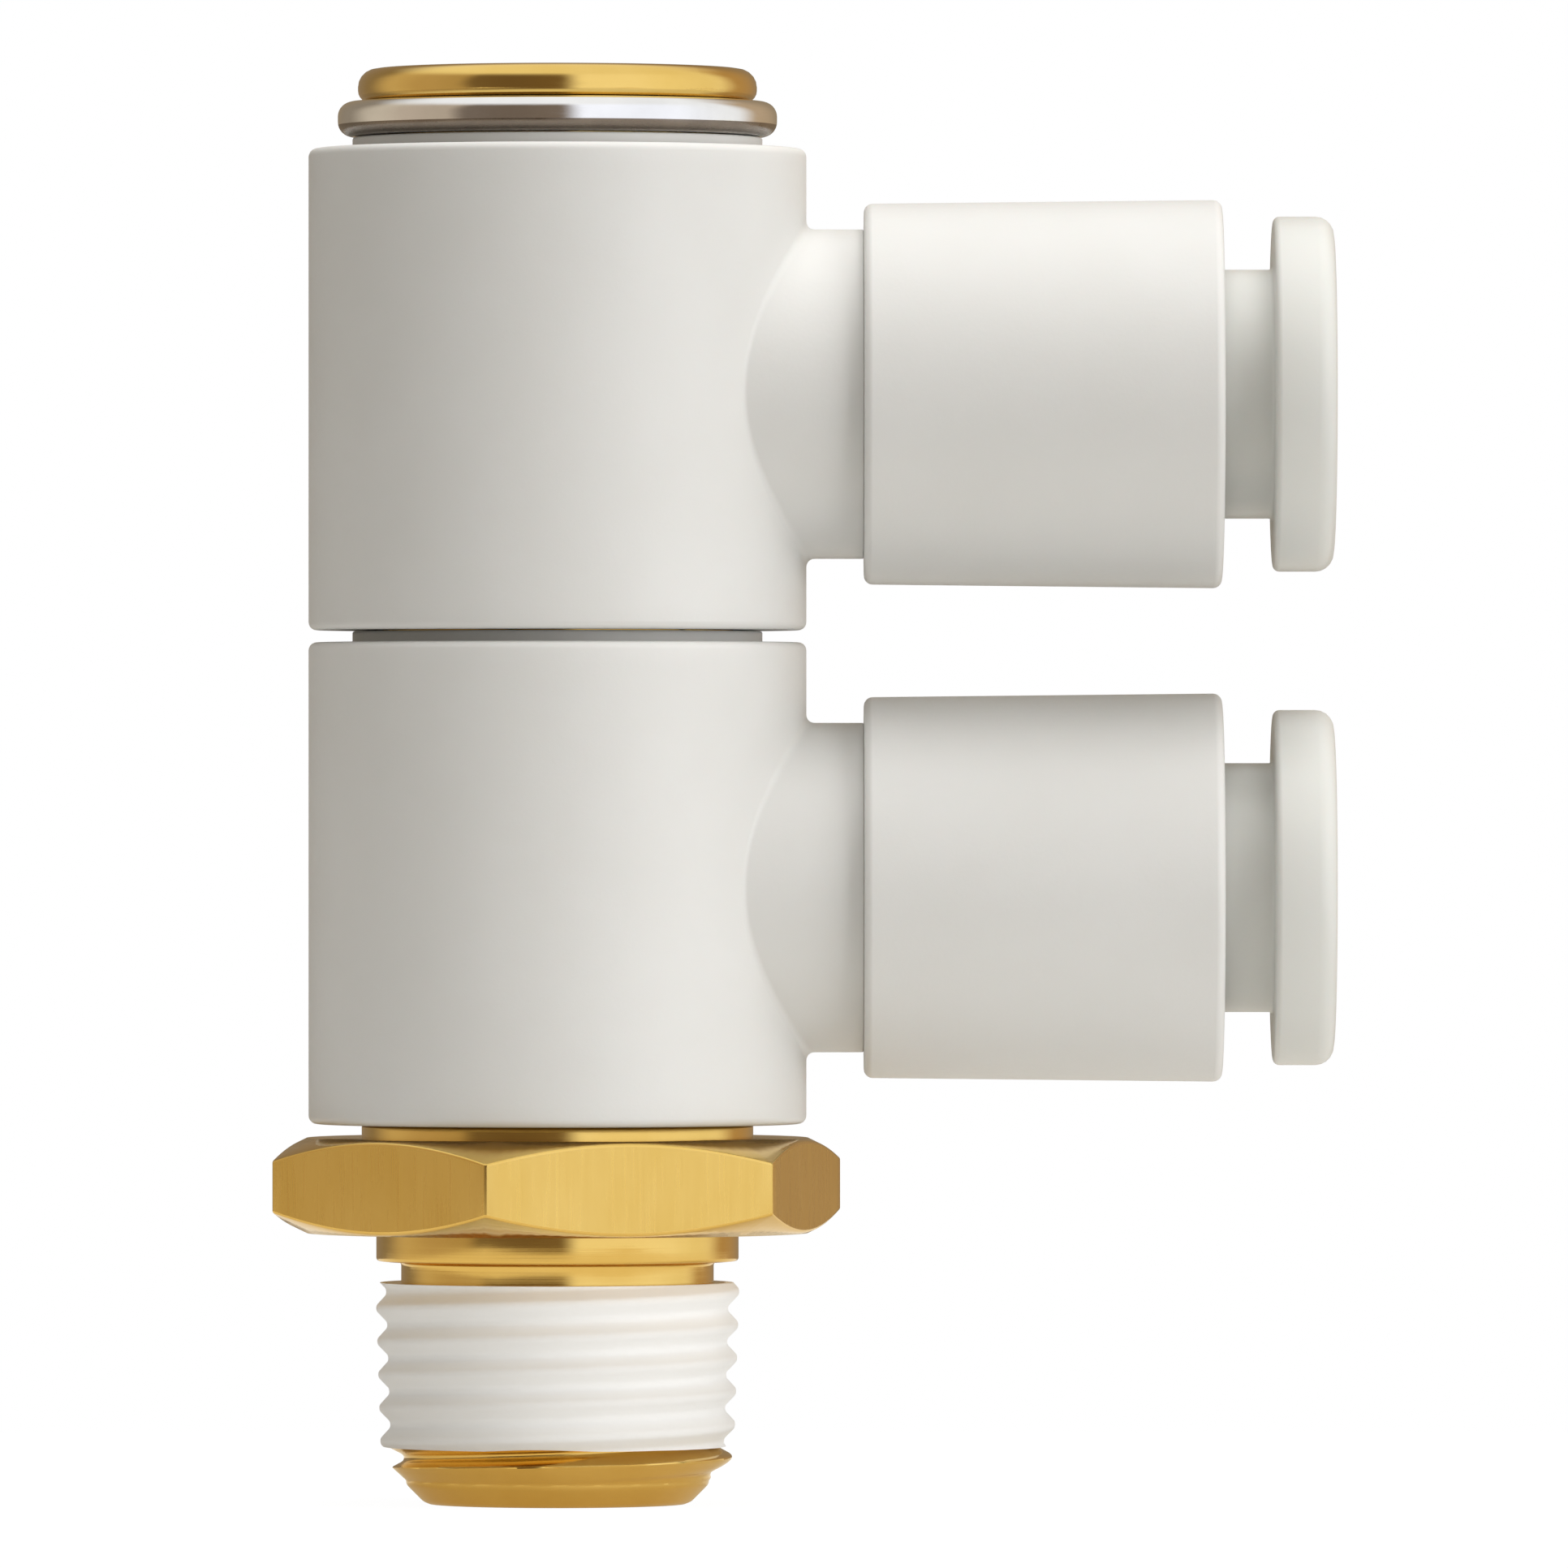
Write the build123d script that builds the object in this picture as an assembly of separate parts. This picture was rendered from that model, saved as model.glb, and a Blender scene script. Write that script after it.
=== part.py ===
from build123d import *
import os
from math import cos, radians, sin, tan

os.makedirs("parts", exist_ok=True)

# Double male elbow fitting: two push-in tube ports that swivel on one threaded stud.
# The origin is the centre of the thread's end face. +Z runs up the stud, and at rest both
# ports point along +X. Sizes are in millimetres, and angles in degrees.

# Taper pipe thread at the lower end of the stud
thread_pitch = 0.9071
thread_gauge_d = 9.728
thread_gauge_z = 4.0
thread_taper = 1 / 16
thread_length = 6.04
thread_depth = 0.6403 * thread_pitch
crest_flat = thread_pitch / 3
first_crest_z = 1.1
thread_end_d = 7.0
end_break = 0.2

# Sealant coat on the thread, thicker towards the thread's end
sealant_start_z = 1.56
sealant_first_coat = 0.1
sealant_last_coat = 0.05
sealant_crest_flat = 0.44
sealant_root_fill = 0.16

# Stud above the thread
relief_length = 0.59
relief_undercut = 0.05
collar_d = 9.9
collar_length = 0.77
collar_break = 0.15
hex_flats = 14.0
hex_height = 2.6
hex_turn = 16.7
hex_chamfer_inset = 0.15
hex_chamfer_angle = 26.0
shoulder_width = 0.5
shoulder_height = 0.35

# Swivel bearing, O-ring grooves and waterway
swivel_bore_d = 9.7
swivel_clearance = 0.05
swivel_end_play = 0.03
groove_width = 1.5
groove_depth = 0.95
groove_inset = 1.85
waist_depth = 1.1
waist_margin = 1.1
waterway_d = 5.2
waterway_end_wall = 2.6
drill_point_angle = 59.0
cross_hole_d = 3.0
cross_holes = 2
o_ring_clearance = 0.02
o_ring_side_play = 0.1
o_ring_break = 0.32

# Washer under the rolled head
washer_width = 1.15
washer_thickness = 0.95
washer_break = 0.26
head_rim = 0.65
head_height = 0.9
head_break = 0.3
head_recess_d = 7.4
head_recess_depth = 1.5

# Elbow body: a barrel round the stud with a neck for the port
barrel_wall = 1.95
barrel_below_port = 6.45
barrel_above_port = 6.7
barrel_break = 0.2
barrel_lead_in = 0.3
boss_wall = 0.75
boss_height = 0.3
neck_step = 0.245
neck_length = 1.57
stop_wall = 0.95
orifice_d = 2.6
seat_lead_in = 0.3

# Push-in port, from the tube outwards
tube_d = 4.0
tube_clearance = 0.1
tooth_bite = 0.1
seal_bite = 0.08
nose_wall = 0.55
nose_clearance = 0.1
sheet_thickness = 0.2
sheet_room = 0.025
collet_wall = 0.4
collet_tail_wall = 0.3
wedge_clearance = 0.08
lip_gap = 0.2
guide_wall = 0.7
spigot_wall = 0.5
sleeve_wall = 0.95
sleeve_draft = 0.6
sleeve_break = 0.2
button_neck_wall = 1.3
button_neck_clearance = 0.1
flange_width = 1.45

# Push-in port, along its axis from the stud outwards
seal_seat_step = 1.03
seal_length = 2.2
seal_groove_depth = 1.2
seal_groove_width = 0.35
seal_flank_wall = 0.6
seal_flank_taper = 0.2
seal_lip_x = 0.9
seal_lip_root_x = 1.5
seal_lip_tail_x = 0.2
seal_lip_tail_rise = 0.5
seal_heel_clearance = 0.2
sleeve_length = 9.78
sleeve_end_wall = 1.85
button_stand_off = 1.39
button_stop_gap = 0.09
flange_thickness = 1.66
flange_break = 0.35
flange_back_break = 0.15
mouth_lead_in = 0.4
lip_length = 0.5
bead_length = 0.4
bead_end_play = 0.05
collet_end_play = 0.1
collet_gap = 0.15
wedge_start = 0.85
wedge_length = 1.0
chuck_depth = 1.25
chuck_inset = 0.2
chuck_tooth_angle = 50.0
nose_tip_gap = 0.15
neck_shoulder_inset = 0.35
collet_slits = 6
collet_slit_width = 0.35
collet_ring_length = 0.6
chuck_teeth = 8
tooth_gap = 0.3
button_slits = 4
button_slit_width = 0.4
button_slit_past_lip = 0.1

# Radii that mate across the swivel
bore_r = swivel_bore_d / 2
shaft_r = bore_r - swivel_clearance
groove_r = shaft_r - groove_depth
waist_r = shaft_r - waist_depth
shoulder_r = bore_r + shoulder_width
boss_r = bore_r + boss_wall
barrel_r = bore_r + barrel_wall
washer_bore_r = shaft_r + swivel_clearance
washer_r = washer_bore_r + washer_width
head_r = shaft_r + head_rim

# Radii of the port, each from the piece inside it
tube_r = tube_d / 2
port_bore_r = tube_r + tube_clearance
tooth_tip_r = tube_r - tooth_bite
seal_lip_r = tube_r - seal_bite
nose_r = port_bore_r + nose_wall
chuck_bore_r = nose_r + sheet_thickness + sheet_room
chuck_r = chuck_bore_r + sheet_thickness
collet_r = chuck_r + collet_wall
collet_tail_bore_r = nose_r + nose_clearance
collet_tail_r = collet_tail_bore_r + collet_tail_wall
guide_wide_r = collet_r + wedge_clearance
guide_narrow_r = collet_tail_r + wedge_clearance
bead_r = guide_narrow_r - wedge_clearance
guide_lip_r = nose_r + lip_gap
guide_r = guide_wide_r + guide_wall
seal_pocket_r = guide_r - spigot_wall
neck_r = guide_r + neck_step
sleeve_r = guide_r + sleeve_wall
sleeve_mouth_r = sleeve_r + sleeve_length * tan(radians(sleeve_draft))
button_neck_r = port_bore_r + button_neck_wall
sleeve_hole_r = button_neck_r + button_neck_clearance
flange_r = button_neck_r + flange_width

# Heights up the stud
thread_turns = 1 + int((thread_length - first_crest_z - crest_flat / 2) / thread_pitch)
relief_top = thread_length + relief_length
hex_bottom = relief_top + collar_length
hex_top = hex_bottom + hex_height
shoulder_top = hex_top + shoulder_height
barrel_height = barrel_below_port + barrel_above_port
boss_top = barrel_height + boss_height
lower_base = shoulder_top + swivel_end_play
upper_base = lower_base + boss_top + swivel_end_play
washer_base = upper_base + boss_top + swivel_end_play
head_base = washer_base + washer_thickness
stud_top = head_base + head_height

# Distances along the port from the stud's axis
tube_stop = bore_r + stop_wall
neck_end = barrel_r + neck_length
seal_seat = neck_end + seal_seat_step
spigot_end = seal_seat + seal_length
sleeve_end = neck_end + sleeve_length
guide_end = sleeve_end - sleeve_end_wall
flange_base = sleeve_end + button_stand_off
mouth = flange_base + flange_thickness
button_travel = button_stand_off - button_stop_gap
bead_outer = guide_end - lip_length - bead_end_play
bead_inner = bead_outer - bead_length
collet_start = spigot_end + collet_gap
collet_end = bead_inner - button_travel - collet_end_play
chuck_fold = collet_start + chuck_depth
wedge_from = spigot_end + wedge_start
wedge_to = wedge_from + wedge_length
nose_tip = chuck_fold + nose_tip_gap
neck_shoulder = sleeve_end - neck_shoulder_inset


def turned(corners):
    """Turn a closed outline about Z. A corner is (radius, height), or has an edge break too."""
    points = []
    for index, (radius, height, *edge_break) in enumerate(corners):
        corner = Vector(radius, height)
        if not edge_break:
            points.append(corner)
            continue
        for neighbour in (corners[index - 1], corners[(index + 1) % len(corners)]):
            along = (Vector(neighbour[0], neighbour[1]) - corner).normalized()
            points.append(corner + along * edge_break[0])
    return revolve(Plane.XZ * make_face(Polyline(*points, close=True)), Axis.Z)


def radial_slots(count, width, reach, low, high):
    """Slots spaced evenly about Z, each open from the axis out to reach."""
    slot = Pos(reach / 2, 0, (low + high) / 2) * Box(reach, width, high - low)
    return [Rot(0, 0, 360 * turn / count) * slot for turn in range(count)]


def crest_radius(height):
    """Radius of the taper thread's crests at a height."""
    return (thread_gauge_d + (height - thread_gauge_z) * thread_taper) / 2


def root_radius(height):
    """Radius of the taper thread's roots at a height."""
    return crest_radius(height) - thread_depth


def thread_corners(first_turn, coats, flat, root_fill):
    """Crests and roots of the thread's section, one crest for each coat of sealant on it."""
    corners = []
    for turn, coat in enumerate(coats, first_turn):
        crest_z = first_crest_z + turn * thread_pitch
        for edge_z in (crest_z - flat / 2, crest_z + flat / 2):
            crest_r = crest_radius(crest_z if coat else edge_z) + coat
            corners.append((crest_r, edge_z))
        root_z = crest_z + thread_pitch / 2
        corners.append((root_radius(root_z) + root_fill, root_z))
    return corners[:-1]


def thread_section():
    """Outline of the bare thread, from its end face up to the relief above it."""
    return [
        (0, 0),
        (thread_end_d / 2, 0, end_break),
        *thread_corners(0, [0] * thread_turns, crest_flat, 0),
        (root_radius(thread_length) - relief_undercut, thread_length),
    ]


def groove(middle, width, floor_r):
    """Outline of one groove in the stud's shaft."""
    low = middle - width / 2
    high = middle + width / 2
    return [(shaft_r, low), (floor_r, low), (floor_r, high), (shaft_r, high)]


def shaft_section():
    """Outline of the swivel shaft: a waist at each port, between two O-ring grooves."""
    corners = []
    for base in (lower_base, upper_base):
        corners += groove(base + groove_inset, groove_width, groove_r)
        corners += groove(base + barrel_below_port, cross_hole_d + 2 * waist_margin, waist_r)
        corners += groove(base + barrel_height - groove_inset, groove_width, groove_r)
    return corners


def hexagon():
    """Spanner hexagon with both its rims chamfered."""
    flat_r = hex_flats / 2
    prism = extrude(RegularPolygon(flat_r, 6, major_radius=False, rotation=hex_turn), hex_height)
    chamfer_r = flat_r - hex_chamfer_inset
    widest_r = chamfer_r + hex_height / 2 / tan(radians(hex_chamfer_angle))
    rims = turned([
        (0, 0),
        (chamfer_r, 0),
        (widest_r, hex_height / 2),
        (chamfer_r, hex_height),
        (0, hex_height),
    ])
    return Pos(0, 0, hex_bottom) * (prism & rims)


def waterway():
    """Blind axial bore with its drill point, and the cross holes at both port levels."""
    bore_end = stud_top - head_recess_depth - waterway_end_wall
    point_length = waterway_d / 2 / tan(radians(drill_point_angle))
    holes = turned([
        (0, 0),
        (waterway_d / 2, 0),
        (waterway_d / 2, bore_end - point_length),
        (0, bore_end),
    ])
    drill = Rot(0, 90, 0) * Cylinder(cross_hole_d / 2, 2 * shaft_r)
    for base in (lower_base, upper_base):
        for hole in range(cross_holes):
            turn = Rot(0, 0, 180 * hole / cross_holes)
            holes += Pos(0, 0, base + barrel_below_port) * turn * drill
    return holes


def stud():
    """Brass stud: thread, collar, hexagon, swivel shaft and rolled head in one piece."""
    recess_r = head_recess_d / 2
    recess_floor = stud_top - head_recess_depth
    blank = turned([
        *thread_section(),
        (root_radius(thread_length) - relief_undercut, relief_top),
        (collar_d / 2, relief_top, collar_break),
        (collar_d / 2, hex_top),
        (shoulder_r, hex_top),
        (shoulder_r, shoulder_top),
        (shaft_r, shoulder_top),
        *shaft_section(),
        (shaft_r, head_base),
        (head_r, head_base, head_break),
        (head_r, stud_top, head_break),
        (recess_r, stud_top, head_break),
        (recess_r, recess_floor),
        (0, recess_floor),
    ])
    return blank + hexagon() - waterway()


def thread_sealant():
    """White sealant that coats the thread's crests and part fills its roots."""
    sealed_turns = thread_turns - 1
    thinning = (sealant_first_coat - sealant_last_coat) / max(sealed_turns - 1, 1)
    coats = [sealant_first_coat - turn * thinning for turn in range(sealed_turns)]
    blank = turned([
        (0, sealant_start_z),
        (root_radius(sealant_start_z) + sealant_root_fill, sealant_start_z),
        *thread_corners(1, coats, sealant_crest_flat, sealant_root_fill),
        (root_radius(thread_length) + sealant_root_fill, thread_length),
        (0, thread_length),
    ])
    return blank - turned(thread_section() + [(0, thread_length)])


def retaining_washer():
    """Steel washer under the rolled head."""
    return turned([
        (washer_bore_r, washer_base),
        (washer_r, washer_base, washer_break),
        (washer_r, head_base, washer_break),
        (washer_bore_r, head_base),
    ])


def o_ring(middle):
    """O-ring squeezed between its groove's floor and the barrel's bore."""
    low = middle - groove_width / 2 + o_ring_side_play
    high = middle + groove_width / 2 - o_ring_side_play
    outer_r = bore_r - o_ring_clearance
    return turned([
        (groove_r, low, o_ring_break),
        (outer_r, low, o_ring_break),
        (outer_r, high, o_ring_break),
        (groove_r, high, o_ring_break),
    ])


def elbow_body():
    """Moulded barrel with its neck, tube seat, seal pocket and the spigot for the sleeve."""
    barrel = turned([
        (0, 0),
        (barrel_r, 0, barrel_break),
        (barrel_r, barrel_height, barrel_break),
        (boss_r, barrel_height),
        (boss_r, boss_top),
        (0, boss_top),
    ])
    neck = turned([
        (0, 0),
        (neck_r, 0),
        (neck_r, neck_end),
        (guide_r, neck_end),
        (guide_r, spigot_end),
        (0, spigot_end),
    ])
    bore = turned([
        (0, 0),
        (bore_r + barrel_lead_in, 0),
        (bore_r, barrel_lead_in),
        (bore_r, boss_top - barrel_lead_in),
        (bore_r + barrel_lead_in, boss_top),
        (0, boss_top),
    ])
    passage = turned([
        (0, 0),
        (orifice_d / 2, 0),
        (orifice_d / 2, tube_stop),
        (port_bore_r, tube_stop),
        (port_bore_r, seal_seat - seat_lead_in),
        (port_bore_r + seat_lead_in, seal_seat),
        (seal_pocket_r, seal_seat),
        (seal_pocket_r, spigot_end),
        (0, spigot_end),
    ])
    return barrel + port_in_body * neck - bore - port_in_body * passage


def port_sleeve():
    """Moulded outer sleeve that holds the guide on the spigot."""
    return turned([
        (guide_r, neck_end),
        (sleeve_r, neck_end, sleeve_break),
        (sleeve_mouth_r, sleeve_end, sleeve_break),
        (sleeve_hole_r, sleeve_end, sleeve_break),
        (sleeve_hole_r, guide_end),
        (guide_r, guide_end),
    ])


def guide():
    """Metal guide: its taper closes the collet, and its lip keeps the button in."""
    return turned([
        (guide_r, spigot_end),
        (guide_r, guide_end),
        (guide_lip_r, guide_end),
        (guide_lip_r, guide_end - lip_length),
        (guide_narrow_r, guide_end - lip_length),
        (guide_narrow_r, wedge_to),
        (guide_wide_r, wedge_from),
        (guide_wide_r, spigot_end),
    ])


def seal():
    """Lip seal in its pocket, with the groove behind its lip open to the pressure."""
    tail_r = port_bore_r + seal_lip_tail_rise
    groove_floor = seal_seat + seal_groove_depth
    flank_r = seal_pocket_r - seal_flank_wall
    return turned([
        (seal_pocket_r, seal_seat),
        (seal_pocket_r, spigot_end),
        (port_bore_r + seal_heel_clearance, spigot_end),
        (port_bore_r + seal_heel_clearance, seal_seat + seal_lip_root_x),
        (seal_lip_r, seal_seat + seal_lip_x),
        (tail_r, seal_seat + seal_lip_tail_x),
        (flank_r - seal_groove_width, groove_floor),
        (flank_r, groove_floor),
        (flank_r + seal_flank_taper, seal_seat),
    ])


def collet():
    """Wedge collet, slit from its inner end so that the guide can close it on the chuck."""
    blank = turned([
        (chuck_r, collet_start),
        (collet_r, collet_start),
        (collet_r, wedge_from),
        (collet_tail_r, wedge_to),
        (collet_tail_r, collet_end),
        (collet_tail_bore_r, collet_end),
        (collet_tail_bore_r, chuck_fold),
        (chuck_r, chuck_fold),
    ])
    slit_end = collet_end - collet_ring_length
    return blank - radial_slots(collet_slits, collet_slit_width, guide_r, collet_start, slit_end)


def chuck():
    """Sheet-metal chuck: a skirt folded in at its outer end to a ring of slanted teeth."""
    slant = radians(chuck_tooth_angle)
    fold_break = sheet_thickness * (1 / sin(slant / 2) - 1) / cos(slant / 2)
    fold_x = chuck_fold + fold_break * cos(slant)
    skirt_end = collet_start + chuck_inset
    tip_x = fold_x - (chuck_r - tooth_tip_r) / tan(slant)
    back_r = tooth_tip_r + sheet_thickness * cos(slant)
    back_x = tip_x - sheet_thickness * sin(slant)
    blank = turned([
        (chuck_r, skirt_end),
        (chuck_r, fold_x, fold_break),
        (tooth_tip_r, tip_x),
        (back_r, back_x),
        (chuck_bore_r, back_x + (chuck_bore_r - back_r) / tan(slant)),
        (chuck_bore_r, skirt_end),
    ])
    return blank - radial_slots(chuck_teeth, tooth_gap, chuck_bore_r, spigot_end, fold_x)


def release_button():
    """Release button: a slit nose with a snap bead, a neck and a flange to press."""
    blank = turned([
        (port_bore_r, nose_tip),
        (nose_r, nose_tip),
        (nose_r, bead_inner),
        (bead_r, bead_inner + bead_length / 2),
        (bead_r, bead_outer),
        (nose_r, bead_outer),
        (nose_r, neck_shoulder),
        (button_neck_r, neck_shoulder),
        (button_neck_r, flange_base),
        (flange_r, flange_base, flange_back_break),
        (flange_r, mouth, flange_break),
        (port_bore_r + mouth_lead_in, mouth),
        (port_bore_r, mouth - mouth_lead_in),
    ])
    slit_end = guide_end + button_slit_past_lip
    return blank - radial_slots(button_slits, button_slit_width, guide_r, nose_tip, slit_end)


port_in_body = Pos(0, 0, barrel_below_port) * Rot(0, 90, 0)
port_pieces = {
    "port_sleeve": port_sleeve(),
    "guide": guide(),
    "seal": seal(),
    "collet": collet(),
    "chuck": chuck(),
    "release_button": release_button(),
}
pieces = {
    "stud": stud(),
    "thread_sealant": thread_sealant(),
    "retaining_washer": retaining_washer(),
}
for level, base in (("lower", lower_base), ("upper", upper_base)):
    pieces[f"{level}_bottom_o_ring"] = o_ring(base + groove_inset)
    pieces[f"{level}_top_o_ring"] = o_ring(base + barrel_height - groove_inset)
    pieces[f"{level}_elbow_body"] = Pos(0, 0, base) * elbow_body()
    for name, piece in port_pieces.items():
        pieces[f"{level}_{name}"] = Pos(0, 0, base) * port_in_body * piece

for name, piece in pieces.items():
    export_step(piece, f"parts/{name}.step")
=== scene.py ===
from math import atan2, cos, hypot, pi, radians, sin, sqrt, tan

import bmesh
import bpy
from mathutils import Matrix, Vector


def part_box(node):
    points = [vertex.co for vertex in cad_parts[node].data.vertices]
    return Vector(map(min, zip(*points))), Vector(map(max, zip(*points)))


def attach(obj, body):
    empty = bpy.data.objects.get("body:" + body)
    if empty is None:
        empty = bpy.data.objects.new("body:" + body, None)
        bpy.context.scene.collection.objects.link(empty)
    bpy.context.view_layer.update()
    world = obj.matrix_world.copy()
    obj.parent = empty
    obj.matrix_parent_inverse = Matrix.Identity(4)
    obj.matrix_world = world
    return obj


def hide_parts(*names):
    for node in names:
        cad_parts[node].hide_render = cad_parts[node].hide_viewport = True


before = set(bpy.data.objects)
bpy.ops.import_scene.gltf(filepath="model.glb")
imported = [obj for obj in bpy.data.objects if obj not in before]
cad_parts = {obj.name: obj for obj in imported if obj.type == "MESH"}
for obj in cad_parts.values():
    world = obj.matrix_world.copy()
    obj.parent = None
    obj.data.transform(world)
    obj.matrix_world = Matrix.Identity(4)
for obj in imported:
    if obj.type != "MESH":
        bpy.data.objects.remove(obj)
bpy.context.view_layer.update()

# Double male elbow fitting. Lengths are in millimetres and become metres when a mesh is made;
# only the floor, the lamps and the camera are set in metres. Heights and port places come from
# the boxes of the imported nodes. A name that ends in _edge or _root is the arc radius at an
# outer or inner corner.
MM = 0.001
LEVELS = ("lower", "upper")

# Mesh making: reach of a merge and of a sliver in metres, and the least angle of a sharp edge
merge_reach = 2e-8
sliver_reach = 1e-8
sharp_angle = radians(31)


def node_box(node):
    """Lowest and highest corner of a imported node, in millimetres."""
    low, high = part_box(node)
    return low / MM, high / MM


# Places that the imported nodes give
stud_top = node_box("stud")[1].z
washer_low, washer_high = node_box("retaining_washer")
body_base = {level: node_box(f"{level}_elbow_body")[0].z for level in LEVELS}
sleeve_low, sleeve_high = node_box("lower_port_sleeve")
button_low, button_high = node_box("lower_release_button")
port_height = (button_low.z + button_high.z) / 2 - body_base["lower"]

# Thread: a rounded 55 degree form, whose crest arc and depth are fixed shares of its pitch
pitch = 0.9071
thread_top = 6.04
crest_gauge_r = 4.864
crest_gauge_z = 4.0
taper = 1 / 16
crest_phase = 0.80
crest_round = 0.137329 * pitch
thread_depth = 0.640327 * pitch
flank_angle = radians(27.5)
end_face_r = 3.6
land_r = 4.14
land_top = 0.65
start_slope = 1.1
end_break = 0.1
end_blend = 0.08
rows_per_turn = 24

# Sealant: thin on the crests, thicker in the roots, with an uneven lower edge
sealant_low = 1.56
sealant_skin = 0.045
sealant_fill = 0.34
sealant_gap = 0.003
sealant_wave = 0.03
sealant_ripple = 0.02
sealant_steps = 144

# Stud above the thread, and its bore
waterway_r = 2.6
bore_end = stud_top - 4.1
bore_chamfer = 0.15
drill_half_angle = radians(59)
relief_r = 4.27
relief_root = 0.12
collar_low = 6.63
collar_r = 4.95
collar_edge = 0.1
hex_low = 7.4
hex_high = 10.0
hex_flat_r = 7.0
hex_turn = radians(16.7)
hex_corner_r = 0.12
hex_chamfer_r = 6.85
hex_chamfer_slope = tan(radians(26.0))
hex_edge = 0.1
hex_arc_steps = 4
hex_side_steps = 20
hex_side_least_r = collar_r + 1
hex_side_tilt = 0.05
shoulder_r = 5.35
shoulder_top = 10.35
shoulder_edge = 0.06
shaft_r = 4.8
groove_r = 3.85
groove_width = 1.5
groove_inset = 1.85
groove_edge = 0.05
groove_root = 0.1
o_ring_round = 0.44
waist_r = 3.7
waist_width = 5.2
cross_hole_r = 1.5
cross_pin_length = 9.5
head_low = washer_high.z
head_r = 5.45
head_low_edge = 0.3
head_top_edge = 0.5
recess_r = 3.7
recess_depth = 1.5
recess_edge = 0.28
recess_root = 0.15

# Washer: arc of the rim, and its lower part of sheared steel with painted shade, as shares of the
# thickness
washer_arc_share = 0.42
washer_sheared_shade_share = 0.34

# Elbow body
bore_r = 4.85
bore_lead_in = 0.3
barrel_r = 6.8
barrel_height = 13.15
barrel_edge = 0.22
boss_r = 5.6
boss_top = 13.45
boss_edge = 0.06
neck_r = 4.5
neck_fillet = 0.22
neck_end = sleeve_low.x
neck_edge = 0.05
orifice_r = 1.3
port_bore_r = 2.1
tube_stop = 5.8
tube_chamfer = 0.3
seal_seat = 9.4
spigot_end = 11.6
spigot_r = 4.255
spigot_edge = 0.08
pocket_r = 3.755

# Barrel walls: two patches in front of the port, and the rest of the turn behind them
wall_low = barrel_edge
wall_high = barrel_height - barrel_edge
bore_low = bore_lead_in
bore_high = boss_top - bore_lead_in
fillet_steps = 6
patch_angle = radians(62)
patch_steps = 32
patch_rings = 10
ring_crowding = 1.4
back_steps = 52

# Sleeve
sleeve_end = sleeve_high.x
sleeve_mouth_r = (sleeve_high.z - sleeve_low.z) / 2
sleeve_r = sleeve_mouth_r - 0.102
sleeve_hole_r = 3.5
sleeve_joint_edge = 0.1
sleeve_edge = 0.24
sleeve_hole_edge = 0.2
guide_end = 16.3

# Release button, whose nose ends in a cone that lies along the chuck's teeth when pressed
nose_r = 2.65
nose_cone_r = 2.2
nose_room = 0.65
nose_start = button_low.x + nose_room
tooth_slant = radians(50)
nose_cone_end = nose_start + (nose_r - nose_cone_r) / tan(tooth_slant)
nose_edge = 0.02
nose_cone_edge = 0.05
bead_r = 3.05
bead_outer = guide_end - 0.55
bead_width = 0.2
bead_root = 0.05
button_neck_r = 3.4
button_neck_low = sleeve_end - 0.35
button_neck_edge = 0.1
button_neck_root = 0.12
flange_r = (button_high.z - button_low.z) / 2
flange_base = 19.54
flange_low_edge = 0.18
flange_top_edge = 0.5
mouth = button_high.x
mouth_flare = 0.4
mouth_depth = 0.5
mouth_edge = 0.2
mouth_root = 0.3
slit_width = 0.4
slit_depth = 3.25
slit_reach = 8

# Lip seal: a wall in the pocket, a lip that leans into the tube's way, a groove between them
seal_bore_r = port_bore_r + 0.2
seal_wall_r = pocket_r - 0.6
seal_wall_taper = 0.2
seal_wall_edge = 0.08
seal_groove_width = 0.35
seal_groove_depth = 1.2
seal_groove_root = 0.08
seal_edge = 0.1
lip_r = port_bore_r - 0.18
lip_height = 0.9
lip_base = 1.5
lip_tip_r = port_bore_r + 0.5
lip_tip = 0.2
lip_edge = 0.12


def rounded(corners, steps=5):
    """Outline with an arc at each corner (radius, height, arc radius); no arc for a zero."""
    points = []
    for index, (r, h, arc) in enumerate(corners):
        here = Vector((r, h))
        if not arc:
            points.append(here)
            continue
        before = (Vector(corners[index - 1][:2]) - here).normalized()
        after = (Vector(corners[(index + 1) % len(corners)][:2]) - here).normalized()
        half = before.angle(after) / 2
        centre = here + (before + after).normalized() * (arc / sin(half))
        first = here + before * (arc / tan(half)) - centre
        last = here + after * (arc / tan(half)) - centre
        turn = first.angle_signed(last)
        start = atan2(first.y, first.x)
        for step in range(steps + 1):
            angle = start - turn * step / steps
            points.append(centre + Vector((cos(angle), sin(angle))) * arc)
    return points


def turn_about_z(r, z, angle):
    return Vector((r * cos(angle), r * sin(angle), z))


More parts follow.
